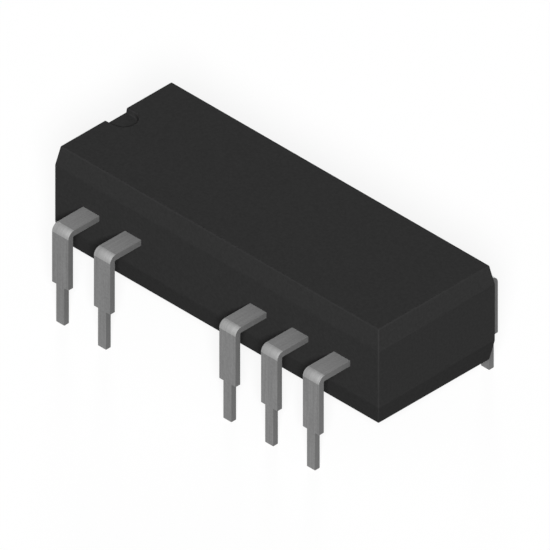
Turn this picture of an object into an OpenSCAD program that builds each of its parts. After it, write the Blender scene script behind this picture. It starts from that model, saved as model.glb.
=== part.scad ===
// Switching controller chip in a tall moulded dual in-line package.
// Fourteen lead positions, seven leads fitted, and a wound core moulded in with the dice.
// Millimetres. The origin is the centre of the lead pattern on the face of the board,
// +X runs along the body away from the notch, +Y to the back row of leads and +Z up.

/* [Body] */
// Length of the moulding at its upright band
body_l = 19.69; // [18.6:0.01:22]
// Width of the moulding at its upright band
body_w = 7.11; // [6.4:0.01:7.6]
// Height of the moulding
body_h = 4.95; // [4.4:0.05:6]
// Height of the upright band that the leads come out of
band_h = 2.95; // [2:0.05:3.6]
// Draft of the faces above and below that band, in degrees
draft_angle = 10; // [4:0.5:15]
// Gap between the board and the underside
standoff = 0.38; // [0.2:0.01:1]

/* [Notch] */
// Width of the orientation notch
notch_w = 1.27; // [0.8:0.01:2.4]
// Distance that the notch reaches in from the end of the moulding
notch_l = 1.27; // [1.2:0.01:2.4]
// Depth of the notch below the top
notch_depth = 0.25; // [0.1:0.01:0.5]

/* [Ejector marks] */
// Diameter of the round marks on the underside
ejector_d = 1.5; // [0.8:0.1:2.5]
// Depth of the marks
ejector_depth = 0.08; // [0.03:0.01:0.2]
// Distance between the two marks
ejector_spacing = 12; // [8:0.1:15]

/* [Leads] */
// Spacing of the lead positions along a row
lead_spacing = 2.54; // [2.4:0.01:2.8]
// Span over the outsides of the two rows
row_span = 10.88; // [9.6:0.02:12]
// Thickness of the lead frame
lead_t = 0.3; // [0.2:0.01:0.38]
// Width of a lead above the board
shoulder_w = 1; // [0.8:0.01:1.3]
// Width of the tip that goes into the board
tip_w = 0.5; // [0.36:0.01:0.6]
// Length of the tip below the face of the board
tip_l = 1.97; // [1.5:0.01:3.6]
// Inside radius of the bend
bend_r = 0.05; // [0.03:0.01:0.4]

/* [Lead frame in the moulding] */
// Length of the narrow neck just inside the moulding
neck_l = 0.45; // [0.3:0.05:0.8]
// Width of the finger that locks a lead in the moulding
finger_w = 1.4; // [1.2:0.05:1.6]
// Distance that a finger reaches in from the side of the moulding
finger_l = 1.9; // [1.5:0.05:2.2]
// Width of the die pads, across the moulding
pad_w = 3.6; // [3:0.1:4]
// Distance that the controller pad reaches past the middle of its lead, to the notch end
controller_overhang = 1.3; // [1.1:0.05:1.4]
// Distance that the common pad reaches past the middle of its lead, to the other end
common_overhang = 0.75; // [0.7:0.05:1]
// Length of the rectifier pad, along the moulding
rectifier_pad_l = 2; // [1.6:0.05:2.4]
// Distance that the inner pads reach under the wound core
pad_reach = 0.9; // [0.7:0.05:1.1]

/* [Dice] */
// Length of the controller die, along the moulding
controller_l = 1.8; // [1:0.05:1.9]
// Width of the controller die
controller_w = 2; // [1.2:0.05:2.2]
// Length of a side of each rectifier die
rectifier_side = 0.9; // [0.7:0.05:1.1]
// Distance between the centres of the rectifier dice
rectifier_spacing = 1.8; // [1.5:0.05:2]
// Thickness of the silicon
die_t = 0.26; // [0.2:0.01:0.35]
// Thickness of the die attach
attach_t = 0.04; // [0.02:0.01:0.08]
// Margin of the die attach round a die
attach_margin = 0.1; // [0.05:0.01:0.15]
// Distance from the edge of a pad to the controller die
die_setback = 0.3; // [0.2:0.05:0.4]

/* [Wound core] */
// Outer diameter of the core
core_d = 4.4; // [3.8:0.1:4.8]
// Hole through the core
core_hole = 2.4; // [1.8:0.1:2.8]
// Height of the core
core_h = 1; // [0.7:0.05:1.2]
// Thickness of the winding wire
wire_t = 0.2; // [0.14:0.01:0.26]
// Turns in each winding
turns = 9; // [4:1:12]
// Arc of the core that each winding covers, in degrees
winding_arc = 150; // [90:1:170]
// Share of the space for each turn that its wire fills
turn_fill = 0.7; // [0.5:0.05:0.9]
// Thickness of the adhesive that beds the core
bed_t = 0.08; // [0.04:0.01:0.15]
// Length of each bed of adhesive, across the moulding
bed_l = 1.6; // [1:0.1:2.4]

/* [Bond wires] */
// Thickness of a bond wire
bond_t = 0.05; // [0.03:0.005:0.08]
// Width of the flattened ends
bond_foot_w = 0.14; // [0.1:0.01:0.2]
// Thickness of the flattened ends
bond_foot_t = 0.04; // [0.02:0.01:0.06]
// Rise of the loop over a straight line between its ends
loop_rise = 0.35; // [0.25:0.05:0.6]
// Distance of a bond from the edges of what it lands on
bond_inset = 0.3; // [0.2:0.05:0.4]

/* [Hidden] */
$fn = 64;

mould_black = "#303030";
tin_grey = "#8c8c8c";
silicon_grey = "#5a6270";
silver_epoxy = "#b4b2aa";
ferrite_black = "#3a3836";
enamel_copper = "#a8552c";
bed_cream = "#d8d0b8";
wire_gold = "#d8a83c";

// A row has seven positions, so its outer leads are three steps from the middle one.
row_positions = 7;
row_half = (row_positions - 1) / 2;
body_bottom = standoff;
body_top = body_bottom + body_h;
band_bottom = body_bottom + (body_h - band_h) / 2;
band_top = band_bottom + band_h;
draft_inset = (body_h - band_h) / 2 * tan(draft_angle);
// Margin by which cutting shapes pass the face that they open
past = 0.5;

// The lead frame lies on the parting plane, half way up the moulding.
frame_bottom = body_bottom + (body_h - lead_t) / 2;
frame_top = frame_bottom + lead_t;
side_y = body_w / 2;
leg_inside = row_span / 2 - lead_t;
bend_y = leg_inside - bend_r;
leg_l = frame_bottom - bend_r;
finger_end = side_y - finger_l;
finger_middle = side_y - (neck_l + finger_l) / 2;

// Positions count along the front row from the notch, then back along the other row.
function lead_x(n) =
    lead_spacing * (n <= row_positions ? n - 1 - row_half : 2 * row_positions - row_half - n);
function lead_side(n) = n <= row_positions ? -1 : 1;

// The core sits over the empty positions, half way between the two leads beside them.
core_x = (lead_x(2) + lead_x(5)) / 2;
core_r = core_d / 2;
wound_r = core_r + wire_t;
core_wall = (core_d - core_hole) / 2;
core_bottom = frame_top + bed_t + wire_t;
turn_step = winding_arc / turns;
// Share of the wire's thickness that the insulation fills between turns
valley_share = 0.5;

controller_pad = [lead_x(2) - controller_overhang, core_x - wound_r + pad_reach];
common_pad = [core_x + wound_r - pad_reach, lead_x(5) + common_overhang];
rectifier_pad = [lead_x(6) - rectifier_pad_l / 2, lead_x(6) + rectifier_pad_l / 2];

die_bottom = frame_top + attach_t;
die_top = die_bottom + die_t;
controller_x = controller_pad[0] + die_setback + controller_l / 2;
rectifier_x = lead_x(6);
rectifier_y = rectifier_spacing / 2;

// Short straight steps that make up the curve of a bond wire
loop_steps = 12;

// Outline of the moulding seen along its length or its width, of which half is given
module drafted_outline(half) {
    polygon([
        [-half + draft_inset, body_bottom], [half - draft_inset, body_bottom],
        [half, band_bottom], [half, band_top],
        [half - draft_inset, body_top], [-half + draft_inset, body_top],
        [-half, band_top], [-half, band_bottom]
    ]);
}

// Plan of the notch: straight sides from the end of the moulding to a half round
module notch_plan() {
    translate([-body_l / 2 + notch_l - notch_w / 2, 0]) {
        circle(d = notch_w);
        translate([-notch_l - past, -notch_w / 2])
            square([notch_l + past, notch_w]);
    }
}

module moulding() {
    intersection() {
        rotate([90, 0, 90])
            linear_extrude(body_l, center = true)
                drafted_outline(side_y);
        rotate([90, 0, 0])
            linear_extrude(body_w, center = true)
                drafted_outline(body_l / 2);
    }
}

// Everything that the compound flows round
module insert() {
    lead_1();
    lead_2();
    lead_5();
    lead_6();
    lead_7();
    lead_8();
    lead_14();
    controller_attach();
    controller_die();
    rectifier_attach(1);
    rectifier_attach(-1);
    rectifier_die(1);
    rectifier_die(-1);
    core_bed(-1);
    core_bed(1);
    toroid_core();
    primary_winding();
    secondary_winding();
    bond_wire_1();
    bond_wire_2();
    bond_wire_3();
    bond_wire_4();
    bond_wire_5();
}

module package_body() {
    color(mould_black)
        difference() {
            moulding();
            translate([0, 0, body_top - notch_depth])
                linear_extrude(notch_depth + past)
                    notch_plan();
            for (side = [-1, 1])
                translate([side * ejector_spacing / 2, 0, body_bottom - past])
                    cylinder(d = ejector_d, h = past + ejector_depth);
            insert();
        }
}

// Quarter ring of a bend, centred on its axis
module bend_section() {
    intersection() {
        difference() {
            circle(r = bend_r + lead_t);
            circle(r = bend_r);
        }
        square(bend_r + lead_t);
    }
}

// Bent strip of a lead in section, from where the bend begins: the run back into the moulding,
// the bend, and the leg down to the board
module strip_section(run_l) {
    translate([-run_l, 0])
        square([run_l, lead_t]);
    translate([0, -bend_r]) {
        bend_section();
        translate([bend_r, -leg_l])
            square([lead_t, leg_l]);
    }
}

// The narrow tip in section, from half way up the leg to its end below the board
module tip_section() {
    translate([bend_r, -frame_bottom - tip_l])
        square([lead_t, tip_l + leg_l / 2]);
}

// A lead at position n: the wide bent strip from a start inside the moulding, and the narrow tip
module formed_strip(n, start) {
    translate([lead_x(n), 0, frame_bottom])
        rotate([0, 0, lead_side(n) < 0 ? 180 : 0])
            translate([0, bend_y, 0])
                rotate([90, 0, 90]) {
                    linear_extrude(shoulder_w, center = true)
                        strip_section(bend_y - start);
                    linear_extrude(tip_w, center = true)
                        tip_section();
                }
}

// A block that stands on a level, centred over a point in plan
module slab(centre, size) {
    translate([centre[0] - size[0] / 2, centre[1] - size[1] / 2, centre[2]])
        cube(size);
}

// A lead that ends inside in a finger wider than its neck
module finger_lead(n) {
    color(tin_grey) {
        formed_strip(n, finger_middle);
        slab([lead_x(n), lead_side(n) * finger_middle, frame_bottom],
             [finger_w, finger_l - neck_l, lead_t]);
    }
}

// A lead that ends inside in a pad, which runs along the moulding between two places
module pad_lead(n, span) {
    color(tin_grey) {
        formed_strip(n, 0);
        slab([(span[0] + span[1]) / 2, 0, frame_bottom], [span[1] - span[0], pad_w, lead_t]);
    }
}

module lead_1() { finger_lead(1); }

module lead_2() { pad_lead(2, controller_pad); }

module lead_5() { pad_lead(5, common_pad); }

module lead_6() { pad_lead(6, rectifier_pad); }

module lead_7() { finger_lead(7); }

module lead_8() { finger_lead(8); }

module lead_14() { finger_lead(14); }

module controller_attach() {
    color(silver_epoxy)
        slab([controller_x, 0, frame_top],
             [controller_l + 2 * attach_margin, controller_w + 2 * attach_margin, attach_t]);
}

module controller_die() {
    color(silicon_grey)
        slab([controller_x, 0, die_bottom], [controller_l, controller_w, die_t]);
}

module rectifier_attach(side) {
    attach_side = rectifier_side + 2 * attach_margin;
    color(silver_epoxy)
        slab([rectifier_x, side * rectifier_y, frame_top], [attach_side, attach_side, attach_t]);
}

module rectifier_die(side) {
    color(silicon_grey)
        slab([rectifier_x, side * rectifier_y, die_bottom], [rectifier_side, rectifier_side, die_t]);
}

// Section of the core, grown all round by the thickness of what is wound on it
module core_section(cover) {
    translate([core_hole / 2 - cover, -cover])
        square([core_wall + 2 * cover, core_h + 2 * cover]);
}

module toroid_core() {
    color(ferrite_black)
        translate([core_x, 0, core_bottom])
            rotate_extrude()
                core_section(0);
}

// Turns side by side round the core, centred on one direction
module winding(direction) {
    difference() {
        translate([core_x, 0, core_bottom])
            rotate([0, 0, direction - winding_arc / 2]) {
                rotate_extrude(angle = winding_arc)
                    core_section(wire_t * valley_share);
                for (i = [0 : turns - 1])
                    rotate([0, 0, (i + (1 - turn_fill) / 2) * turn_step])
                        rotate_extrude(angle = turn_step * turn_fill)
                            core_section(wire_t);
            }
        toroid_core();
    }
}

module primary_winding() {
    color(enamel_copper)
        winding(180);
}

module secondary_winding() {
    color(enamel_copper)
        winding(0);
}

// Adhesive between a pad and the underside of the winding over it
module core_bed(side) {
    color(bed_cream)
        slab([core_x + side * (wound_r - pad_reach / 2), 0, frame_top], [pad_reach / 2, bed_l, bed_t]);
}

// Gold wire between two points, in a loop that rises from the first
module bond_wire(from, to) {
    run = norm([to[0] - from[0], to[1] - from[1]]);
    heading = atan2(to[1] - from[1], to[0] - from[0]);
    fall = from[2] - to[2];
    loop = [for (i = [0 : loop_steps])
        let (t = i / loop_steps) [run * t, 4 * loop_rise * t * (1 - t) - fall * t]];
    color(wire_gold)
        translate(from)
            rotate([0, 0, heading])
                rotate([90, 0, 0])
                    linear_extrude(bond_t, center = true) {
                        polygon(concat(
                            loop,
                            [for (i = [loop_steps : -1 : 0]) loop[i] + [0, bond_t]]
                        ));
                        for (foot = [[0, 0], [run, -fall]])
                            translate([foot[0] - bond_foot_w / 2, foot[1]])
                                square([bond_foot_w, bond_foot_t]);
                    }
}

// Where a bond lands on the finger of lead n, near the corner that faces the pads
function finger_bond(n, toward) = [
    lead_x(n) + toward * (finger_w / 2 - bond_inset),
    lead_side(n) * (finger_end + bond_inset),
    frame_top
];

// Where a bond lands on the controller die, near its end by the notch
function controller_bond(side) = [
    controller_x - controller_l / 2 + bond_inset,
    side * (controller_w / 2 - bond_inset),
    die_top
];

module bond_wire_1() { bond_wire(controller_bond(-1), finger_bond(1, 1)); }

module bond_wire_2() { bond_wire(controller_bond(1), finger_bond(14, 1)); }

module bond_wire_3() {
    bond_wire([controller_x, -controller_w / 2 + bond_inset, die_top],
              [controller_x, -pad_w / 2 + bond_inset, frame_top]);
}

module bond_wire_4() { bond_wire([rectifier_x, rectifier_y, die_top], finger_bond(8, -1)); }

module bond_wire_5() { bond_wire([rectifier_x, -rectifier_y, die_top], finger_bond(7, -1)); }

package_body();
lead_1();
lead_2();
lead_5();
lead_6();
lead_7();
lead_8();
lead_14();
controller_die();
controller_attach();
rectifier_die(1);  // rectifier_die_1
rectifier_die(-1);  // rectifier_die_2
rectifier_attach(1);  // rectifier_attach_1
rectifier_attach(-1);  // rectifier_attach_2
toroid_core();
primary_winding();
secondary_winding();
core_bed(-1);  // core_bed_1
core_bed(1);  // core_bed_2
bond_wire_1();
bond_wire_2();
bond_wire_3();
bond_wire_4();
bond_wire_5();
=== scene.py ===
# %% [markdown]
# # A chip in a tall moulded package
#
# The real thing is a black block of moulded epoxy that stands on seven bent, tinned leads. A notch in
# one end says where the leads start to count. Inside lie three dice and a small wound core, which no
# view shows. Every solid comes in at its true size and place, in metres. The lesson dresses them in the
# order in which such a chip is made: the lead frame, then what is mounted on it, and last the body that
# is moulded round it all.

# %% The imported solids
import math

import bmesh
import bpy
from mathutils import Matrix, Vector


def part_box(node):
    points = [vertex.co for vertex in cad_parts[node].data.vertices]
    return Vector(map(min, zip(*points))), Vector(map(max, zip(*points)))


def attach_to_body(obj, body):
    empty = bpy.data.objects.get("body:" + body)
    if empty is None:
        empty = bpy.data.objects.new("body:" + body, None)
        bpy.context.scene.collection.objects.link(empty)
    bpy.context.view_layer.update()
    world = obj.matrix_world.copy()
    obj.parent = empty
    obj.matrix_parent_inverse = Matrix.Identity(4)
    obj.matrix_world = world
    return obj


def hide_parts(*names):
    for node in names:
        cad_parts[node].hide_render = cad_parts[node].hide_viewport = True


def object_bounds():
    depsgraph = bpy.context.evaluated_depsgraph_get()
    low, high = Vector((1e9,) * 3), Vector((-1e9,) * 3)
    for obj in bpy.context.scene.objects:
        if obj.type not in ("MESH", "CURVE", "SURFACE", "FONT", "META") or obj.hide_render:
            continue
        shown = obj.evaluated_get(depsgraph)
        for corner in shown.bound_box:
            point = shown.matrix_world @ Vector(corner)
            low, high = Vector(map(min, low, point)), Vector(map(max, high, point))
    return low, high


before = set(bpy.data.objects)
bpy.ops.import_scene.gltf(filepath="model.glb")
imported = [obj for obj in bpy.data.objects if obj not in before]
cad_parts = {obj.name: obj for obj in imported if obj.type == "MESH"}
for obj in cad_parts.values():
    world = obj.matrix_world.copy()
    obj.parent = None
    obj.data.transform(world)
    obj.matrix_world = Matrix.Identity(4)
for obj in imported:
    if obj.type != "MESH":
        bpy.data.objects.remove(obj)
solid_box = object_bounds()
MM = 0.001
solid_size = (solid_box[1] - solid_box[0]) / MM
print(f"{len(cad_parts)} solids, {solid_size.x:.2f} x {solid_size.y:.2f} x {solid_size.z:.2f} mm")

# %% [markdown]
# ## The view
# The picture is an isometric drawing: parallel lines stay parallel and all three axes are shortened
# alike. A long lens would come close, but an orthographic camera is exact. It looks along the diagonal
# of a cube at the middle of the solids, and its width follows from how many pixels one upright
# millimetre takes.

# %% Camera
PICTURE_PX = 550
UPRIGHT_PX_PER_MM = 19.0
# An orthographic view is the same from any distance.
CAMERA_DISTANCE = 0.2

to_camera = Vector((1, -1, 1)).normalized()
upright_shortening = math.hypot(to_camera.x, to_camera.y)
camera_data = bpy.data.cameras.new("isometric_camera")
camera_data.type = "ORTHO"
camera_data.ortho_scale = PICTURE_PX * upright_shortening / UPRIGHT_PX_PER_MM * MM
camera = bpy.data.objects.new("isometric_camera", camera_data)
camera.location = (solid_box[0] + solid_box[1]) / 2 + to_camera * CAMERA_DISTANCE
camera.rotation_euler = to_camera.to_track_quat("Z", "Y").to_euler()
bpy.context.collection.objects.link(camera)
bpy.context.scene.camera = camera
bpy.context.scene.view_settings.view_transform = "Standard"
print(f"the picture is {camera_data.ortho_scale / MM:.2f} mm wide")

# %% [markdown]
# ## Colours and nodes
# Colours are written as the hex values that a picture shows, and the shader wants them linear, so one
# function turns one into the other. A material is a tree of nodes. Another function adds a node of any
# kind with its settings and the links into it, so that each finish below reads as a list of its nodes.

# %% Colours and nodes
def linear(hex_colour):
    """An sRGB hex colour as the linear colour, with alpha, that a shader takes."""
    shares = [int(hex_colour[i:i + 2], 16) / 255 for i in (1, 3, 5)]
    return (*(s / 12.92 if s <= 0.04045 else ((s + 0.055) / 1.055) ** 2.4 for s in shares), 1)


def link_into(tree, node, links):
    """Links outputs of other nodes to a node's inputs, which go by name or number."""
    for name, source in dict(links).items():
        tree.links.new(source, node.inputs[name])


def add_node(tree, kind, settings=(), links=()):
    """Adds a node. Settings are inputs by name or number, properties, or the tones of a colour ramp."""
    node = tree.nodes.new("ShaderNode" + kind)
    for name, value in dict(settings).items():
        if name == "tones":
            for stop, (place, colour) in zip(node.color_ramp.elements, value):
                stop.position = place
                stop.color = linear(colour)
        elif isinstance(name, int) or name in node.inputs:
            node.inputs[name].default_value = value
        else:
            setattr(node, name, value)
    link_into(tree, node, links)
    return node


print("a mid grey of #808080 is", round(linear("#808080")[0], 3), "to the shader")

# %% [markdown]
# ## Table
# The chip stands on a white studio table. A table that is lit to full white would also throw its light
# back at the chip and drown it, so this one is a mid grey that lamps light and shade, plus a glow that
# makes up the rest to white. Only the eye and reflections see the glow, and it lights nothing.

# %% Finish of the table
TABLE_GREY = "#707070"


def seen_directly(tree):
    """1 for the eye's rays, mirrored and refracted ones too, and 0 for the light that falls on things."""
    path = add_node(tree, "LightPath")
    shown = add_node(tree, "Math", {"operation": "ADD"},
                     {0: path.outputs["Is Camera Ray"], 1: path.outputs["Is Glossy Ray"]})
    return add_node(tree, "Math", {"operation": "ADD", "use_clamp": True},
                    {0: shown.outputs[0], 1: path.outputs["Is Transmission Ray"]}).outputs[0]


def white_table():
    """A grey that takes light and shade, and the glow that it lacks to be white."""
    finish = bpy.data.materials.new("white_table")
    finish.use_nodes = True
    tree = finish.node_tree
    tree.nodes.remove(tree.nodes["Principled BSDF"])
    grey = linear(TABLE_GREY)
    lit = add_node(tree, "BsdfDiffuse", {"Color": grey})
    rest = add_node(tree, "Math", {"operation": "MULTIPLY", 1: 1 - grey[0]}, {0: seen_directly(tree)})
    glow = add_node(tree, "Emission", {}, {"Strength": rest.outputs[0]})
    white = add_node(tree, "AddShader", {}, {0: lit.outputs[0], 1: glow.outputs[0]})
    link_into(tree, tree.nodes["Material Output"], {"Surface": white.outputs[0]})
    return finish


table_finish = white_table()
print(f"the table gives back {linear(TABLE_GREY)[0]:.2f} of the light and glows by the rest")

# %% Lay the table
TABLE_SIDE = 4.0
# Kept to a nanometre, faces that touch lie in exactly one plane, which clean cuts need.
PLACE_DIGITS = 9


def new_piece(name, bm, finishes):
    """Turns a bmesh into an object at the origin, with its place in its mesh."""
    for vert in bm.verts:
        vert.co = [round(metres, PLACE_DIGITS) for metres in vert.co]
    mesh = bpy.data.meshes.new(name)
    bm.to_mesh(mesh)
    bm.free()
    for finish in finishes:
        mesh.materials.append(finish)
    piece = bpy.data.objects.new(name, mesh)
    bpy.context.collection.objects.link(piece)
    return piece


bm = bmesh.new()
bmesh.ops.create_grid(bm, x_segments=1, y_segments=1, size=TABLE_SIDE / 2)
bmesh.ops.translate(bm, vec=(0, 0, solid_box[0].z), verts=bm.verts)
new_piece("table", bm, [table_finish])
print(f"the table lies at z = {solid_box[0].z / MM:.2f} mm, under the tips of the leads")

# %% [markdown]
# ## Light
# The picture shows the top, the front and the end in one tone and no shadow on any of them, so its light
# comes from where the viewer stands. A soft lamp over the camera's shoulder does that, because it hides
# each shadow behind what throws it. A weaker, low lamp on the other side and a faint white sky keep the
# far sides from going black in other views. Shares are counted so that 1 shows white as white, which
# keeps every colour as it is written.

# %% Lamps and sky
# A sun of this strength shows a white face that it meets squarely as white.
WHITE_LIGHT = math.pi
SKY_SHARE = 0.1
LAMP_SPREAD = math.radians(12)
# Each lamp's share of white where it falls squarely, and its azimuth and elevation in degrees.
LAMPS = {"front_lamp": (1.5, 45, 33), "back_lamp": (1.1, -135, 4)}

for name, (share, azimuth, elevation) in LAMPS.items():
    lamp = bpy.data.lights.new(name, "SUN")
    lamp.energy = share * WHITE_LIGHT
    lamp.angle = LAMP_SPREAD
    holder = bpy.data.objects.new(name, lamp)
    holder.rotation_euler = (math.radians(90 - elevation), 0, math.radians(azimuth))
    bpy.context.collection.objects.link(holder)

world = bpy.data.worlds.new("white_studio")
bpy.context.scene.world = world
world.use_nodes = True
tree = world.node_tree
strength = add_node(tree, "Math", {"operation": "MULTIPLY_ADD", 1: 1 - SKY_SHARE, 2: SKY_SHARE},
                    {0: seen_directly(tree)})
sky = tree.nodes["Background"]
sky.inputs["Color"].default_value = linear("#ffffff")
link_into(tree, sky, {"Strength": strength.outputs[0]})
level = SKY_SHARE + sum(share * math.sin(math.radians(up)) for share, _, up in LAMPS.values())
print(f"a level white face shows at {level:.2f}")

# %% [markdown]
# ## How a finish starts
# Each finish starts from the Principled shader. What is even all over is set on the shader's own
# sockets, and what wanders is driven by a pattern. Generated coordinates would stretch a pattern with
# each piece, so patterns read Object coordinates, which are metres on every piece. Pattern sizes are
# written in millimetres, and a texture's scale is how many of them fit in a metre.

# %% Start of a finish
def per_metre(size_mm):
    """How many features of a size in millimetres fit in a metre."""
    return 1 / (size_mm * MM)


def new_finish(name, constants=()):
    """A material, its nodes, its shader and the place on the piece. Constants are even all over."""
    finish = bpy.data.materials.new(name)
    finish.use_nodes = True
    tree = finish.node_tree
    shader = tree.nodes["Principled BSDF"]
    for socket, value in dict(constants).items():
        shader.inputs[socket].default_value = value
    return finish, tree, shader, add_node(tree, "TexCoord").outputs["Object"]


print(f"a grain of 0.1 mm is a scale of {per_metre(0.1):.0f}")

# %% [markdown]
# ## Matte tin
# Outside the body the leads are plated with matte tin. The eye gets a dull grey metal with soft
# highlights and faint lines along the strip, which the rolls left in the copper below. The lines run
# away from the body and then down the legs, so noise that is fine across the strip and long in both
# other directions follows them round the bend. Rolling lines are about 0.02 mm apart, under one pixel,
# and are drawn coarser to show at all. The tool that bends a lead slides over the outside of the bend
# and rubs the tin smoother there. That face is also given lighter tones than the rest of the tin, a
# painted highlight for the light that the bend catches, so the same function makes two finishes.

# %% Finish of the leads
ROLLING_LINE_MM = 0.07
ROLLING_LENGTH_MM = 2.0
ROLLING_DEPTH = 0.0008 * MM
TIN_GRAIN_MM = 0.1
# A noise seldom leaves this span, so what it drives reaches its limits at the ends of it.
NOISE_SPAN = (0.3, 0.7)
RANGE_ENDS = ("From Min", "From Max", "To Min", "To Max")


def tin_plate(name, tones, roughness):
    """Tin over rolled copper, with a tone that follows the lines and a roughness that wanders."""
    finish, tree, shader, place = new_finish(name, {"Metallic": 1})
    rolled = [per_metre(size) for size in (ROLLING_LINE_MM, ROLLING_LENGTH_MM, ROLLING_LENGTH_MM)]
    along = add_node(tree, "Mapping", {"Scale": rolled}, {"Vector": place})
    lines = add_node(tree, "TexNoise", {"Scale": 1, "Detail": 2}, {"Vector": along.outputs["Vector"]})
    tone = add_node(tree, "ValToRGB", {"tones": zip(NOISE_SPAN, tones)}, {"Fac": lines.outputs["Fac"]})
    grain = add_node(tree, "TexNoise", {"Scale": per_metre(TIN_GRAIN_MM), "Detail": 2}, {"Vector": place})
    satin = add_node(tree, "MapRange", zip(RANGE_ENDS, (*NOISE_SPAN, *roughness)),
                     {"Value": grain.outputs["Fac"]})
    relief = add_node(tree, "Bump", {"Distance": ROLLING_DEPTH}, {"Height": lines.outputs["Fac"]})
    link_into(tree, shader, {"Base Color": tone.outputs["Color"], "Roughness": satin.outputs["Result"],
                             "Normal": relief.outputs["Normal"]})
    return finish


tin = tin_plate("matte_tin_plated_copper", tones=("#7d7d7d", "#878787"), roughness=(0.85, 1.0))
# Smoother from rubbing, and lighter in tone: the lighter tones are a painted highlight on each bend.
painted_highlight_tin = tin_plate("tin_rubbed_smooth_with_painted_highlight", tones=("#939393", "#9d9d9d"), roughness=(0.65, 0.8))
print("made", tin.name, "and", painted_highlight_tin.name)

# %% [markdown]
# ## Bare copper
# Plating comes after moulding, so the lead frame inside the body stays bare copper, and so do the ends
# of the tips, which are cut to length last of all. The eye gets a dull, slightly brown copper with a
# fine mottle. Most of what is hidden in the chip is as plain as this, so one function makes all such
# finishes: noise as fine as the grain moves the tone and the roughness together. Grains under about
# 0.02 mm would blur into one tone even close up, so they are drawn coarser. Where a surface is rough to
# the touch, the same noise gives it tooth.

# %% Finish of bare copper
def mottled(name, grain_mm, tones, roughness, constants=(), tooth=0):
    """A finish whose tone and roughness wander together, from grain to grain, with tooth of some depth."""
    finish, tree, shader, place = new_finish(name, constants)
    grain = add_node(tree, "TexNoise", {"Scale": per_metre(grain_mm), "Detail": 2}, {"Vector": place})
    tone = add_node(tree, "ValToRGB", {"tones": zip(NOISE_SPAN, tones)}, {"Fac": grain.outputs["Fac"]})
    sheen = add_node(tree, "MapRange", zip(RANGE_ENDS, (*NOISE_SPAN, *roughness)),
                     {"Value": grain.outputs["Fac"]})
    link_into(tree, shader, {"Base Color": tone.outputs["Color"], "Roughness": sheen.outputs["Result"]})
    if tooth:
        relief = add_node(tree, "Bump", {"Distance": tooth}, {"Height": grain.outputs["Fac"]})
        link_into(tree, shader, {"Normal": relief.outputs["Normal"]})
    return finish


copper = mottled("bare_rolled_copper", grain_mm=0.06, tones=("#9a6040", "#b87c56"), roughness=(0.4, 0.6),
                 constants={"Metallic": 1})
print("made", copper.name)

# %% [markdown]
# ## Working in a mesh
# The pieces are built as a workshop would build them: a block, a face drawn out, a strip split, edges
# rounded. Each of these is one mesh operator with a little round it. Faces are picked by where they
# are, because their numbers change with every operator. A trial block shows what the operators do.

# %% Blocks and faces
def block(lo, hi):
    """A plain block between two corners."""
    bm = bmesh.new()
    bmesh.ops.create_cube(bm, size=1)
    bmesh.ops.scale(bm, vec=hi - lo, verts=bm.verts)
    bmesh.ops.translate(bm, vec=(lo + hi) / 2, verts=bm.verts)
    return bm


def face_at(bm, place):
    """The face whose middle is nearest to a place."""
    return min(bm.faces, key=lambda face: (face.calc_center_median() - Vector(place)).length)


def draw_out(bm, face, vec):
    """Draws a face out by a vector, and returns it where it now is."""
    face = bmesh.ops.extrude_discrete_faces(bm, faces=[face])["faces"][0]
    bmesh.ops.translate(bm, vec=vec, verts=face.verts)
    return face


trial = block(Vector((-1, -1, -1)) * MM, Vector((1, 1, 1)) * MM)
draw_out(trial, face_at(trial, (0, 0, MM)), (0, 0, MM))
print(f"a block with one face drawn out has {len(trial.faces)} faces")

# %% Splits and round edges
# Points closer than this are one point.
NEAR = 1e-9
# An edge at which a mesh turns further than this is sharp.
SHARP = math.radians(30)


def every_part(bm):
    """All that a mesh is made of, as operators that cut it want it."""
    return bm.verts[:] + bm.edges[:] + bm.faces[:]


def split_across(bm, geom, middle_x, width):
    """Splits faces along both sides of a strip that is centred on a place."""
    for side in (-1, 1):
        edge = (middle_x + side * width / 2, 0, 0)
        geom = bmesh.ops.bisect_plane(bm, geom=geom, plane_co=edge, plane_no=(1, 0, 0), dist=NEAR)["geom"]


def sharp_edges(bm, angle):
    """The edges at which a mesh turns by more than an angle."""
    return [edge for edge in bm.edges if edge.calc_face_angle(0) > angle]


def round_edges(bm, edges, radius, steps):
    """Rounds edges to a radius, in so many flat steps."""
    bmesh.ops.bevel(bm, geom=edges, offset=radius, offset_type="OFFSET", segments=steps, profile=0.5,
                    affect="EDGES", clamp_overlap=True, material=-1)


split_across(trial, every_part(trial), middle_x=0, width=MM)
print(f"split in three it has {len(trial.faces)} faces")
round_edges(trial, sharp_edges(trial, SHARP), radius=0.1 * MM, steps=2)
print(f"with round edges it has {len(trial.faces)} faces")
trial.free()

# %% [markdown]
# ## Standing for a solid
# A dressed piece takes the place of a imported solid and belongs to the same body. Smooth shading makes
# its round edges look round, but by itself it would make the flat faces look swollen. So edges that turn
# too far to be round stay sharp, and a Weighted Normal modifier lets the broad faces rule the shading.

# %% Finish a piece
SMOOTH_UP_TO = math.radians(35)
# A weight of 50 counts all faces alike, and one of 100 lets the largest decide.
BROAD_FACES_RULE = 100


def finish_piece(piece, node):
    """Smooths a piece, keeps its broad faces flat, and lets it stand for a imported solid."""
    piece.data.shade_smooth()
    piece.data.set_sharp_from_angle(angle=SMOOTH_UP_TO)
    weighted = piece.modifiers.new("broad faces rule", "WEIGHTED_NORMAL")
    weighted.weight = BROAD_FACES_RULE
    weighted.keep_sharp = True
    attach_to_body(piece, "root")
    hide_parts(node)
    print(f"{piece.name}: {len(piece.data.polygons)} faces, for {node}")


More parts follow.
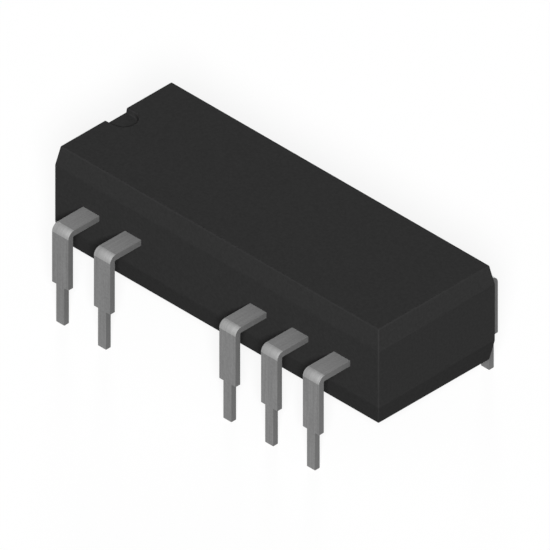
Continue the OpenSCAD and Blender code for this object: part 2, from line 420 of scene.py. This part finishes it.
# %% [markdown]
# ## Leads
# A lead is one stamped strip. Inside the body it ends in a wide finger, or in a pad that carries a die.
# It leaves the side as a level strip, bends down, runs to the board and steps in to a narrow tip. A
# press makes it by cutting and bending, and the mesh goes the same way: a block for the inner end, one
# face of it drawn out, spun round the bend, drawn down to the board, split in three and the middle
# drawn on to the tip. A curve with a flat section would be shorter to write, but it couldn't step in
# its width.

# %% Places of the leads
LEADS = (1, 2, 5, 6, 7, 8, 14)
ROW = 7
LEAD_SPACING = 2.54 * MM


def lead_place(number):
    """Where a lead's middle lies along the body, and the way it leaves the body: -1 front, 1 back."""
    # Numbers run along the front row and come back along the other.
    if number <= ROW:
        return LEAD_SPACING * (number - (ROW + 1) / 2), -1
    return LEAD_SPACING * ((3 * ROW + 1) / 2 - number), 1


print("leads lie at", [round(lead_place(number)[0] / MM, 2) for number in LEADS], "mm along the body")

# %% Stamp and bend the leads
STRIP_T = 0.3 * MM
SHOULDER_W = 1.0 * MM
TIP_W = 0.5 * MM
NECK_L = 0.45 * MM
BEND_R = 0.05 * MM
BEND_STEPS = 10
BOARD_Z = 0.0
STAMPED_EDGE_R = 0.022 * MM
STAMPED_EDGE_STEPS = 2
# Places in a lead's list of finishes, where tin comes first.
COPPER, RUBBED_HIGHLIT, SHEARED_SHADED = 1, 2, 3
body_lo, body_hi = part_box("package_body")


def formed_lead(number):
    """One lead, from its finger or pad to its tip."""
    lo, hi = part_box(f"lead_{number}")
    middle_x, away = lead_place(number)
    inner_y, outer_y = (hi.y, lo.y) if away < 0 else (lo.y, hi.y)
    # A pad reaches past the middle of the body as far as it starts before it. A finger ends at a neck.
    is_pad = inner_y * away < 0
    neck_y = -inner_y if is_pad else away * (body_hi.y - NECK_L)
    strip_z = hi.z - STRIP_T
    bend_y = outer_y - away * (STRIP_T + BEND_R)
    bend_z = strip_z - BEND_R
    leg_y = outer_y - away * STRIP_T / 2

    # The finger or pad, with the strip drawn out of the middle of its side.
    bm = block(Vector((lo.x, min(inner_y, neck_y), strip_z)), Vector((hi.x, max(inner_y, neck_y), hi.z)))
    split_across(bm, every_part(bm), middle_x, SHOULDER_W)
    mouth = draw_out(bm, face_at(bm, (middle_x, neck_y, hi.z - STRIP_T / 2)), (0, bend_y - neck_y, 0))
    # The bend. The face that was spun stays behind inside the strip, so it is deleted.
    bmesh.ops.spin(bm, geom=[mouth], cent=(middle_x, bend_y, bend_z), axis=(1, 0, 0),
                   angle=-away * math.pi / 2, steps=BEND_STEPS)
    bmesh.ops.delete(bm, geom=[mouth], context="FACES_ONLY")
    bmesh.ops.recalc_face_normals(bm, faces=bm.faces)
    # The leg down to the board, and the tip drawn on from the middle of its foot.
    foot = draw_out(bm, face_at(bm, (middle_x, leg_y, bend_z)), (0, 0, BOARD_Z - bend_z))
    split_across(bm, [foot, *foot.edges, *foot.verts], middle_x, TIP_W)
    tip = draw_out(bm, face_at(bm, (middle_x, leg_y, BOARD_Z)), (0, 0, lo.z - BOARD_Z))
    tip.material_index = COPPER
    round_edges(bm, sharp_edges(bm, SHARP), STAMPED_EDGE_R, STAMPED_EDGE_STEPS)
    return bm


formed = {number: formed_lead(number) for number in LEADS}
print("faces of each lead:", {number: len(bm.faces) for number, bm in formed.items()})

# %% [markdown]
# ## Plating
# Tin covers what stands out of the body. A pattern could change the finish at the wall, but a split in
# the mesh is exact, so each lead is split there and its faces get their finish by where they are.
# Past the wall, only the outside of the bend faces both away from the body and up, and that is how the
# rubbed tin with its painted highlight is found. The sides of the strip face along the body. The press
# sheared them, which left them rougher than the rolled faces and without lines. Under the plating they
# are also given a darker grey than the tin, a painted shade that parts them from the fronts.

# %% Plate the leads
# A face of the bend leans both ways by more than this, and the flat faces lean one way only.
BEND_LEAN = 0.05
# A side of the strip leans along the body by more than this.
SIDE_LEAN = 0.7


def plate(bm, away):
    """Splits a lead at the body's wall and gives each face its finish."""
    wall = (0, away * body_hi.y, 0)
    bmesh.ops.bisect_plane(bm, geom=every_part(bm), plane_co=wall, plane_no=(0, away, 0), dist=NEAR)
    bmesh.ops.recalc_face_normals(bm, faces=bm.faces)
    # Sides get the darker tin of painted shade, and the outside of each bend the lighter tin of painted
    # highlight.
    for face in bm.faces:
        outward, up = face.normal.y * away, face.normal.z
        if face.calc_center_median().y * away < body_hi.y:
            face.material_index = COPPER
        elif abs(face.normal.x) > SIDE_LEAN:
            face.material_index = SHEARED_SHADED
        elif min(outward, up) > BEND_LEAN:
            face.material_index = RUBBED_HIGHLIT


# The darker grey is painted shade that parts the sides of the strip from the fronts.
painted_shade_tin = mottled("tin_sheared_with_painted_shade", grain_mm=0.06, tones=("#6e6e6e", "#787878"),
                      roughness=(0.85, 1.0), constants={"Metallic": 1})
# All that the body is moulded round.
insert = []
for number, bm in formed.items():
    plate(bm, lead_place(number)[1])
    lead = new_piece(f"tinned_lead_{number}", bm, [tin, copper, painted_highlight_tin, painted_shade_tin])
    finish_piece(lead, f"lead_{number}")
    insert.append(lead)

# %% [markdown]
# ## Silver epoxy
# Each die is stuck to its pad with epoxy that is filled with silver flakes, so that heat and current
# get through. The eye gets a pale, dull grey with a glint here and there. A noise would give clouds, so
# cells of random brightness give the flakes, drawn larger than their 0.01 mm to show.

# %% Finish of the die attach
FLAKE_MM = 0.03
# Cells are as often dark as bright, and past this span all have one of the two end tones.
FLAKE_SPAN = (0.2, 0.8)


def silver_epoxy(tones, roughness):
    """Epoxy in which each flake has its own tone and shine."""
    finish, tree, shader, place = new_finish("silver_filled_epoxy", {"Metallic": 0.6})
    flakes = add_node(tree, "TexVoronoi", {"Scale": per_metre(FLAKE_MM)}, {"Vector": place})
    tone = add_node(tree, "ValToRGB", {"tones": zip(FLAKE_SPAN, tones)}, {"Fac": flakes.outputs["Color"]})
    glint = add_node(tree, "MapRange", {"To Min": roughness[0], "To Max": roughness[1]},
                     {"Value": flakes.outputs["Color"]})
    link_into(tree, shader, {"Base Color": tone.outputs["Color"], "Roughness": glint.outputs["Result"]})
    return finish


attach_finish = silver_epoxy(tones=("#a4a29c", "#c4c2ba"), roughness=(0.35, 0.65))
print("made", attach_finish.name)

# %% [markdown]
# ## Die attach
# The epoxy is put down as a drop, and the die presses it out to a thin bed with round corners and a soft
# rim. A flattened sphere would be too thin at its edge, so a block has its corners rounded, seen from
# above, and then its upper rim.

# %% Press the die attach
PASTE_CORNER_R = 0.09 * MM
PASTE_RIM_R = 0.03 * MM
PASTE_STEPS = 4


def is_upright(edge):
    """Whether an edge runs straight up."""
    a, b = edge.verts
    return (a.co.xy - b.co.xy).length < NEAR


def pressed_bed(node, corner_r, rim_r):
    """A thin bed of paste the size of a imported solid, with round corners and a soft upper rim."""
    lo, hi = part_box(node)
    bm = block(lo, hi)
    round_edges(bm, [edge for edge in bm.edges if is_upright(edge)], corner_r, PASTE_STEPS)
    top = face_at(bm, ((lo.x + hi.x) / 2, (lo.y + hi.y) / 2, hi.z))
    round_edges(bm, top.edges[:], rim_r, PASTE_STEPS)
    return bm


for node in ("controller_attach", "rectifier_attach_1", "rectifier_attach_2"):
    attach = new_piece(f"pressed_{node}", pressed_bed(node, PASTE_CORNER_R, PASTE_RIM_R), [attach_finish])
    finish_piece(attach, node)
    insert.append(attach)

# %% [markdown]
# ## Silicon
# A die is sawn from a polished wafer. Its sides are the grey of bare silicon, and its top is covered
# with glass over the circuit, which shows as blocks of slightly different blue-green. Bricks give the
# blocks, with fine lines between them. Bonded as in a wall they would look like one, so they lie in
# plain rows, and some rows have wider ones. The glass gives the shine, and bright aluminium shows where
# it is opened for the wires.

# %% Finishes of the dice
CIRCUIT_BLOCK_W_MM = 0.28
CIRCUIT_BLOCK_H_MM = 0.16
CIRCUIT_LINE_MM = 0.01
# How many times as wide blocks are in a wide row, and how often such a row comes.
WIDE_BLOCK_FACTOR = 2.5
ROWS_TO_A_WIDE_ONE = 3


def glazed_circuit(tones, line_tone, roughness):
    """Blocks of circuit under glass. At a scale of one per millimetre, bricks are given in millimetres."""
    finish, tree, shader, place = new_finish("glass_covered_circuit", {"IOR": 1.46, "Coat Weight": 0.5})
    blocks = add_node(tree, "TexBrick", {
        "Color1": linear(tones[0]), "Color2": linear(tones[1]), "Mortar": linear(line_tone),
        "Scale": per_metre(1), "Brick Width": CIRCUIT_BLOCK_W_MM, "Row Height": CIRCUIT_BLOCK_H_MM,
        "Mortar Size": CIRCUIT_LINE_MM, "offset": 0, "squash": WIDE_BLOCK_FACTOR,
        "squash_frequency": ROWS_TO_A_WIDE_ONE,
    }, {"Vector": place})
    shine = add_node(tree, "MapRange", {"To Min": roughness[0], "To Max": roughness[1]},
                     {"Value": blocks.outputs["Fac"]})
    link_into(tree, shader, {"Base Color": blocks.outputs["Color"], "Roughness": shine.outputs["Result"]})
    return finish


silicon = mottled("sawn_silicon", grain_mm=0.02, tones=("#54585f", "#666b73"), roughness=(0.3, 0.5),
                  constants={"Metallic": 0.3})
circuit = glazed_circuit(tones=("#3c4a5c", "#5a6a66"), line_tone="#8a8472", roughness=(0.15, 0.35))
aluminium = mottled("sputtered_aluminium", grain_mm=0.03, tones=("#c8c8c4", "#dcdcd8"),
                    roughness=(0.25, 0.4), constants={"Metallic": 1})
die_finishes = [silicon, circuit, aluminium]
print("made", [finish.name for finish in die_finishes])

# %% [markdown]
# ## Dice
# The saw leaves a narrow street round the circuit, a little lower than the glass. A second, smaller
# block on top would leave a hidden face between the two, so the top of one block is inset by the street
# and its middle drawn up.

# %% Saw the dice
STREET_W = 0.05 * MM
GLASS_T = 0.012 * MM
# Places in a die's list of finishes, where silicon comes first.
GLASS, ALUMINIUM = 1, 2


def sawn_die(node):
    """A die with its saw street and its glass."""
    lo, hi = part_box(node)
    bm = block(lo, Vector((hi.x, hi.y, hi.z - GLASS_T)))
    top = face_at(bm, ((lo.x + hi.x) / 2, (lo.y + hi.y) / 2, hi.z))
    bmesh.ops.inset_individual(bm, faces=[top], thickness=STREET_W)
    draw_out(bm, top, (0, 0, GLASS_T)).material_index = GLASS
    return bm


dice = {}
for node in ("controller_die", "rectifier_die_1", "rectifier_die_2"):
    dice[node] = new_piece(f"sawn_{node}", sawn_die(node), die_finishes)
print("sawn:", list(dice))

# %% [markdown]
# ## Cutting
# A hollow in a face is easiest to make by taking another form away with a Boolean. The modifier would
# need its tool kept in the scene, so its result is made the piece's own mesh at once. The Manifold
# solver is quick and exact for closed forms, and hands each tool's finish on to the faces that it cuts.

# %% Take one form from another
def take_away(piece, tool):
    """Cuts one piece out of another for good."""
    cut = piece.modifiers.new("cut", "BOOLEAN")
    cut.operation = "DIFFERENCE"
    cut.solver = "MANIFOLD"
    cut.object = tool
    whole = piece.data
    carved = bpy.data.meshes.new_from_object(piece.evaluated_get(bpy.context.evaluated_depsgraph_get()))
    # Finishes that came with the tool are dropped again.
    while len(carved.materials) > len(whole.materials):
        carved.materials.pop()
    piece.modifiers.clear()
    piece.data = carved
    bpy.data.meshes.remove(whole)
    carved.name = piece.name


def cut_with(piece, bm, finishes=()):
    """Cuts a form out of a piece."""
    tool = new_piece("tool", bm, finishes)
    take_away(piece, tool)
    bpy.data.objects.remove(tool)


print("dice have", [len(die.data.polygons) for die in dice.values()], "faces before their windows")

# %% [markdown]
# ## Bond windows
# The glass has small windows where wires are bonded to the controller, and one large window over each
# rectifier. A painted square would do from afar, but a window is a shallow hollow, so blocks with the
# finish of aluminium are taken away.

# %% Open the windows
WINDOW_DEPTH = 0.004 * MM
CONTROLLER_WINDOW = 0.16 * MM
RECTIFIER_WINDOW = 0.64 * MM
BOND_INSET = 0.3 * MM
# How far a cutter stands out of what it cuts.
PAST = 0.5 * MM


def on_top(node, x_side, y_side):
    """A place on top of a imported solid: 0 is its middle, and -1 or 1 lies BOND_INSET in from that edge."""
    lo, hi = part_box(node)
    middle = (lo + hi) / 2
    reach = (hi - lo) / 2 - Vector((BOND_INSET, BOND_INSET, 0))
    return middle + Vector((x_side * reach.x, y_side * reach.y, reach.z))


def window(place, side):
    """The form that is taken away for a square window."""
    half = Vector((side / 2, side / 2, 0))
    bm = block(place - half - Vector((0, 0, WINDOW_DEPTH)), place + half + Vector((0, 0, PAST)))
    for face in bm.faces:
        face.material_index = ALUMINIUM
    return bm


windows = {
    "controller_die": (CONTROLLER_WINDOW, ((-1, -1), (-1, 1), (0, -1))),
    "rectifier_die_1": (RECTIFIER_WINDOW, ((0, 0),)),
    "rectifier_die_2": (RECTIFIER_WINDOW, ((0, 0),)),
}
for node, (side, places) in windows.items():
    for place in places:
        cut_with(dice[node], window(on_top(node, *place), side), die_finishes)
    finish_piece(dice[node], node)
    insert.append(dice[node])

# %% [markdown]
# ## Adhesive under the core
# The wound core is too lumpy to lie on copper by itself, so two dabs of filled adhesive bed it on the
# pads either side. The eye gets a matte cream with fine specks of filler. They are pressed flat as the
# silver epoxy is, so the same form serves.

# %% Core beds
DAB_CORNER_R = 0.15 * MM
DAB_RIM_R = 0.03 * MM

bed_finish = mottled("cream_bedding_adhesive", grain_mm=0.05, tones=("#ccc4aa", "#e0d9c2"),
                     roughness=(0.6, 0.8), constants={"Specular IOR Level": 0.3})
for node in ("core_bed_1", "core_bed_2"):
    bed = new_piece(f"pressed_{node}", pressed_bed(node, DAB_CORNER_R, DAB_RIM_R), [bed_finish])
    finish_piece(bed, node)
    insert.append(bed)

# %% [markdown]
# ## Ferrite core
# The core is a ring of pressed and sintered ferrite, tumbled so that its edges don't cut the wire. The
# eye gets a matte, nearly black ceramic with a fine grain. A ready-made torus has a round section, so a
# square with its corners rounded is spun once round instead. The wire is wound on the same section, so
# the section has a function of its own.

# %% Section of the core
CORE_HOLE = 2.4 * MM
CORE_EDGE_R = 0.12 * MM
CORE_EDGE_STEPS = 4

core_lo, core_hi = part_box("toroid_core")
core_middle = (core_lo + core_hi) / 2
core_h = core_hi.z - core_lo.z
core_wall = (core_hi.x - core_lo.x - CORE_HOLE) / 2
core_mean_r = (CORE_HOLE + core_wall) / 2


def core_section():
    """The core's section as one face round the origin, across in X and up in Y, with round corners."""
    bm = bmesh.new()
    bmesh.ops.create_grid(bm, x_segments=1, y_segments=1, size=0.5)
    bmesh.ops.scale(bm, vec=(core_wall, core_h, 1), verts=bm.verts)
    bmesh.ops.bevel(bm, geom=bm.verts[:], offset=CORE_EDGE_R, offset_type="OFFSET",
                    segments=CORE_EDGE_STEPS, profile=0.5, affect="VERTICES", material=-1)
    return bm


print(f"the core is {core_wall / MM:.2f} mm across its wall and {core_h / MM:.2f} mm high")

# %% Press the core
CORE_STEPS = 100

ferrite = mottled("sintered_ferrite", grain_mm=0.04, tones=("#2c2a29", "#403d3b"), roughness=(0.65, 0.85),
                  constants={"Specular IOR Level": 0.4})
stand_out = Matrix.Translation((core_mean_r, 0, 0)) @ Matrix.Rotation(math.pi / 2, 4, "X")
bm = core_section()
bmesh.ops.delete(bm, geom=bm.faces[:], context="FACES_ONLY")
bmesh.ops.transform(bm, matrix=Matrix.Translation(core_middle) @ stand_out, verts=bm.verts)
bmesh.ops.spin(bm, geom=bm.verts[:] + bm.edges[:], cent=core_middle, axis=(0, 0, 1), angle=2 * math.pi,
               steps=CORE_STEPS, use_merge=True)
bmesh.ops.recalc_face_normals(bm, faces=bm.faces)
core = new_piece("ferrite_ring", bm, [ferrite])
finish_piece(core, "toroid_core")
insert.append(core)

# %% [markdown]
# ## Windings
# Each half of the ring carries its own winding of enamelled copper wire: a red-brown metal under a
# clear, glossy coat. The turns lie side by side with insulation in the valleys between them. Separate
# loops of wire would leave gaps for the moulding to fill. So the ring's section is drawn round the core
# as one sleeve, and at each place it swells to the crest of a turn or shrinks back to a valley, as half
# circles do. Then the core is taken away from it.

# %% Turns of the windings
WIRE_T = 0.2 * MM
# How much of the wire's thickness the insulation fills between two turns.
VALLEY_SHARE = 0.5
TURNS = 9
# How much of the space for one turn its half circle takes.
TURN_FILL = 0.7
TURN_STEPS = 6
WINDING_ARC = math.radians(150)


def section_at(angle, cover):
    """Where the core's section lies at an angle round the ring, grown all round by a cover."""
    grow = Matrix.Diagonal((1 + 2 * cover / core_wall, 1 + 2 * cover / core_h, 1, 1))
    return Matrix.Translation(core_middle) @ Matrix.Rotation(angle, 4, "Z") @ stand_out @ grow


def turns_from(start):
    """Where the section lies all along a winding that starts at an angle."""
    valley = WIRE_T * VALLEY_SHARE
    places = [section_at(start, valley)]
    for turn in range(TURNS):
        for step in range(TURN_STEPS + 1):
            across = (1 - math.cos(math.pi * step / TURN_STEPS)) / 2
            crest = (WIRE_T - valley) * math.sin(math.pi * step / TURN_STEPS)
            share = (turn + (1 - TURN_FILL) / 2 + TURN_FILL * across) / TURNS
            places.append(section_at(start + WINDING_ARC * share, valley + crest))
    places.append(section_at(start + WINDING_ARC, valley))
    return places


print(f"a turn takes {WINDING_ARC / TURNS * core_mean_r / MM:.2f} mm of the ring")

# %% Wind the core
def sweep(bm, places):
    """Lays a bmesh's one face at the first place, draws it out through the others and closes the start."""
    face = bm.faces[:][0]
    bmesh.ops.transform(bm, matrix=places[0], verts=face.verts)
    for before, place in zip(places, places[1:]):
        face = bmesh.ops.extrude_discrete_faces(bm, faces=[face])["faces"][0]
        bmesh.ops.transform(bm, matrix=place @ before.inverted(), verts=face.verts)
    bmesh.ops.holes_fill(bm, edges=bm.edges[:])
    bmesh.ops.recalc_face_normals(bm, faces=bm.faces)


def wound(direction):
    """A winding centred on a direction from the middle of the core, still filled by the core."""
    bm = core_section()
    sweep(bm, turns_from(direction - WINDING_ARC / 2))
    return bm


wire_finish = mottled("enamelled_copper_wire", grain_mm=0.4, tones=("#96481f", "#b96238"),
                      roughness=(0.25, 0.4),
                      constants={"Metallic": 1, "Coat Weight": 0.8, "Coat Roughness": 0.12})
winding_directions = {"primary_winding": math.pi, "secondary_winding": 0}
for node, direction in winding_directions.items():
    winding = new_piece(f"wound_{node}", wound(direction), [wire_finish])
    take_away(winding, core)
    finish_piece(winding, node)

# %% [markdown]
# ## Bond wires
# Gold wires, thinner than a hair, join the dice to the leads. The bonder melts a ball on the wire,
# presses it on the die, rises, swings over in a loop and squashes the wire flat on the lead. A curve
# with a round section would give the loop alone. One round face makes all of it: it is swept through
# the ball, along a parabola and into the stitch, and each place says how wide and how high the wire is
# there. The eye gets bright, smooth yellow metal.

# %% Form of a bond wire
BOND_R = 0.025 * MM
BALL_R = 0.06 * MM
BALL_H = 0.045 * MM
# From the foot of the ball up: shares of its height and its radius.
BALL_FORM = ((0, 0.7), (0.15, 0.9), (0.5, 1), (0.85, 0.85), (1, 0.6))
LOOP_RISE = 0.35 * MM
LOOP_STEPS = 14
# The part of the way that is loop: the ball comes before it and the stitch after it.
LOOP_FROM, LOOP_TO = 0.07, 0.95
STITCH_L = 0.06 * MM
# Along the stitch: shares of its length, and the wire's width and height in its own radii.
STITCH_FORM = ((0, 1.6, 0.6), (1, 1.3, 0.3))
UP = Vector((0, 0, 1))


def wire_places(start, end):
    """Where the wire's round section lies, from a ball on a die to a stitch on a lead."""
    run = Vector((end.x - start.x, end.y - start.y, 0))
    level = run.normalized()
    side = run.cross(UP).normalized()
    fall = start.z - end.z

    def section(centre, along, wide, high):
        """Where a circle of radius 1 goes to be the wire's section."""
        turn = Matrix((side, along.cross(side), along)).transposed().to_4x4()
        return Matrix.Translation(centre) @ turn @ Matrix.Diagonal((wide, high, 1, 1))

    foot = start - UP * WINDOW_DEPTH
    places = [section(foot + UP * BALL_H * up, UP, BALL_R * wide, BALL_R * wide) for up, wide in BALL_FORM]
    for step in range(LOOP_STEPS + 1):
        # A parabola over the straight line from foot to foot, as high as the rise half way, and its slope.
        way = LOOP_FROM + (LOOP_TO - LOOP_FROM) * step / LOOP_STEPS
        height = 4 * LOOP_RISE * way * (1 - way) - fall * way + BOND_R
        slope = 4 * LOOP_RISE * (1 - 2 * way) - fall
        centre = start + run * way + UP * height
        places.append(section(centre, (run + UP * slope).normalized(), BOND_R, BOND_R))
    for share, wide, high in STITCH_FORM:
        centre = end + UP * BOND_R * high + level * STITCH_L * share
        places.append(section(centre, level, BOND_R * wide, BOND_R * high))
    return places


print(f"bond wires are {2 * BOND_R / MM:.2f} mm thick and rise {LOOP_RISE / MM:.2f} mm")

# %% Bond the wires
BOND_SIDES = 12

die_middle_x = on_top("controller_die", 0, 0).x
pad_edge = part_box("lead_2")[1]
# The third wire goes down to the die's own pad, which reaches as far to the front as to the back.
bonds = {
    1: (on_top("controller_die", -1, -1), on_top("lead_1", 1, 1)),
    2: (on_top("controller_die", -1, 1), on_top("lead_14", 1, -1)),
    3: (on_top("controller_die", 0, -1), Vector((die_middle_x, BOND_INSET - pad_edge.y, pad_edge.z))),
    4: (on_top("rectifier_die_1", 0, 0), on_top("lead_8", -1, -1)),
    5: (on_top("rectifier_die_2", 0, 0), on_top("lead_7", -1, 1)),
}
gold = mottled("drawn_gold_wire", grain_mm=0.08, tones=("#d6a540", "#e8be5e"), roughness=(0.15, 0.3),
               constants={"Metallic": 1})
for number, (start, end) in bonds.items():
    bm = bmesh.new()
    bmesh.ops.create_circle(bm, cap_ends=True, radius=1, segments=BOND_SIDES)
    sweep(bm, wire_places(start, end))
    bond = new_piece(f"gold_wire_{number}", bm, [gold])
    finish_piece(bond, f"bond_wire_{number}")
    insert.append(bond)

# %% [markdown]
# ## Black moulding compound
# The body is epoxy filled with fine silica and black pigment, pressed into a steel mould whose cavity
# was spark eroded. The eye gets a dark, even matte with a fine tooth, and no gloss. Flat grey would
# look like paint, so the same mottle as before gives the specks of silica, and a bump over the same
# grains gives the tooth. The real grain is about 0.03 mm, under one pixel, so it is drawn coarser to
# show at all. Mirrored white would wash the black out, so the shader's own reflection is off.

# %% Finish of the body
compound = mottled("black_epoxy_moulding_compound", grain_mm=0.12, tones=("#2d2d2d", "#313131"),
                   roughness=(0.6, 0.75), constants={"Specular IOR Level": 0}, tooth=0.003 * MM)
print("made", compound.name)

# %% [markdown]
# ## Body blank
# The body is an upright band, which the leads come out of, with faces above and below that lean in by
# the draft that lets it leave the mould. A block the size of the band is drawn out at the top and the
# bottom, and each new face is drawn in by what the draft takes over that height. Bevelling the edges of
# a larger block would also slope them, but by a width and not by an angle.

# %% Body blank
BAND_H = 2.95 * MM
DRAFT = math.radians(10)

body_middle = (body_lo + body_hi) / 2
body_size = body_hi - body_lo
taper_h = (body_size.z - BAND_H) / 2
taper_in = taper_h * math.tan(DRAFT)
drawn_in = (1 - 2 * taper_in / body_size.x, 1 - 2 * taper_in / body_size.y, 1)

bm = block(body_lo + UP * taper_h, body_hi - UP * taper_h)
for height in (body_lo.z, body_hi.z):
    cap = face_at(bm, (body_middle.x, body_middle.y, height))
    cap = draw_out(bm, cap, (0, 0, height - cap.calc_center_median().z))
    bmesh.ops.scale(bm, vec=drawn_in, space=Matrix.Translation(-body_middle), verts=cap.verts)
body = new_piece("moulded_body", bm, [compound])
print(f"the blank has {len(body.data.polygons)} faces and leans in by {taper_in / MM:.3f} mm")

# %% [markdown]
# ## Notch and ejector marks
# The mould has a half-round boss that leaves the notch, and pins that push the chip out leave two
# shallow round marks underneath. Both are hollows, so cutters are made and taken away as the windows
# were: half a disc drawn out to a slot and raised, and two short cylinders.

# %% Notch cutter
NOTCH_W = 1.27 * MM
NOTCH_L = 1.27 * MM
NOTCH_DEPTH = 0.25 * MM
ROUND_STEPS = 64


def verts_in(geom):
    """The corners among the parts that an operator made."""
    return [part for part in geom if isinstance(part, bmesh.types.BMVert)]


bm = bmesh.new()
bmesh.ops.create_circle(bm, cap_ends=True, radius=NOTCH_W / 2, segments=ROUND_STEPS)
bmesh.ops.bisect_plane(bm, geom=every_part(bm), plane_co=(0, 0, 0), plane_no=(1, 0, 0), clear_inner=True,
                       dist=NEAR)
across = max(bm.edges, key=lambda edge: edge.calc_length())
slot_end = bmesh.ops.extrude_edge_only(bm, edges=[across])["geom"]
bmesh.ops.translate(bm, vec=(-NOTCH_L - PAST, 0, 0), verts=verts_in(slot_end))
bmesh.ops.dissolve_edges(bm, edges=[across])
raised = bmesh.ops.extrude_face_region(bm, geom=bm.faces[:])["geom"]
bmesh.ops.translate(bm, vec=(0, 0, NOTCH_DEPTH + PAST), verts=verts_in(raised))
notch_middle = Vector((body_lo.x + NOTCH_L - NOTCH_W / 2, body_middle.y, body_hi.z - NOTCH_DEPTH))
bmesh.ops.translate(bm, vec=notch_middle, verts=bm.verts)
print(f"the notch cutter has {len(bm.faces)} faces")

# %% Cut the notch and the marks
MARK_D = 1.5 * MM
MARK_DEPTH = 0.08 * MM
MARK_SPACING = 12 * MM

pin_z = body_lo.z + (MARK_DEPTH - PAST) / 2
for side in (-1, 1):
    pin = Matrix.Translation((body_middle.x + side * MARK_SPACING / 2, body_middle.y, pin_z))
    bmesh.ops.create_cone(bm, cap_ends=True, segments=ROUND_STEPS, radius1=MARK_D / 2, radius2=MARK_D / 2,
                          depth=MARK_DEPTH + PAST, matrix=pin)
bmesh.ops.recalc_face_normals(bm, faces=bm.faces)
cut_with(body, bm)
print(f"with its notch and marks the body has {len(body.data.polygons)} faces")

# %% [markdown]
# ## Edges of the body
# No moulded edge is sharp: the cavity's own corners have a small radius, which softens every line
# where two faces meet. The rims of the ejector marks are crisper, because the pins fit the mould
# closely. Each set of edges is bevelled in turn, before the leads cut through the sides, because a bevel
# at the end would round those openings too. The draft bends a side by ten degrees and a facet of a round
# wall by under six, so the limit lies between.

# %% Round the edges
BODY_EDGE_R = 0.06 * MM
MARK_EDGE_R = 0.02 * MM
EDGE_STEPS = 3
BENT = math.radians(8)
WELD = 0.0001 * MM


def at_a_mark(edge):
    """Whether an edge belongs to an ejector mark."""
    return all(v.co.z < body_middle.z and abs(v.co.y) < MARK_D for v in edge.verts)


bm = bmesh.new()
bm.from_mesh(body.data)
bmesh.ops.remove_doubles(bm, verts=bm.verts, dist=WELD)
round_edges(bm, [edge for edge in sharp_edges(bm, BENT) if at_a_mark(edge)], MARK_EDGE_R, EDGE_STEPS)
round_edges(bm, [edge for edge in sharp_edges(bm, BENT) if not at_a_mark(edge)], BODY_EDGE_R, EDGE_STEPS)
bm.to_mesh(body.data)
bm.free()
print(f"with round edges the body has {len(body.data.polygons)} faces")

# %% [markdown]
# ## Moulding
# In the mould the compound flows round everything that is mounted on the lead frame, so each of those
# pieces has left its own hollow in the body. They are taken away one by one, which leaves a body that
# fits them exactly. The windings are cut in their first, filled form, so that no skin is left between
# them and the core. The hollows have taken on the finishes of what they hold, so at the end every face
# is set back to the compound.

# %% Mould the body round the insert
for piece in insert:
    take_away(body, piece)
for direction in winding_directions.values():
    cut_with(body, wound(direction))
bm = bmesh.new()
bm.from_mesh(body.data)
for face in bm.faces:
    face.material_index = 0
volume = bm.calc_volume() / MM ** 3
open_edges = sum(not edge.is_manifold for edge in bm.edges)
bm.to_mesh(body.data)
bm.free()
finish_piece(body, "package_body")
print(f"the body holds {volume:.1f} mm3 of compound, with {open_edges} open edges")
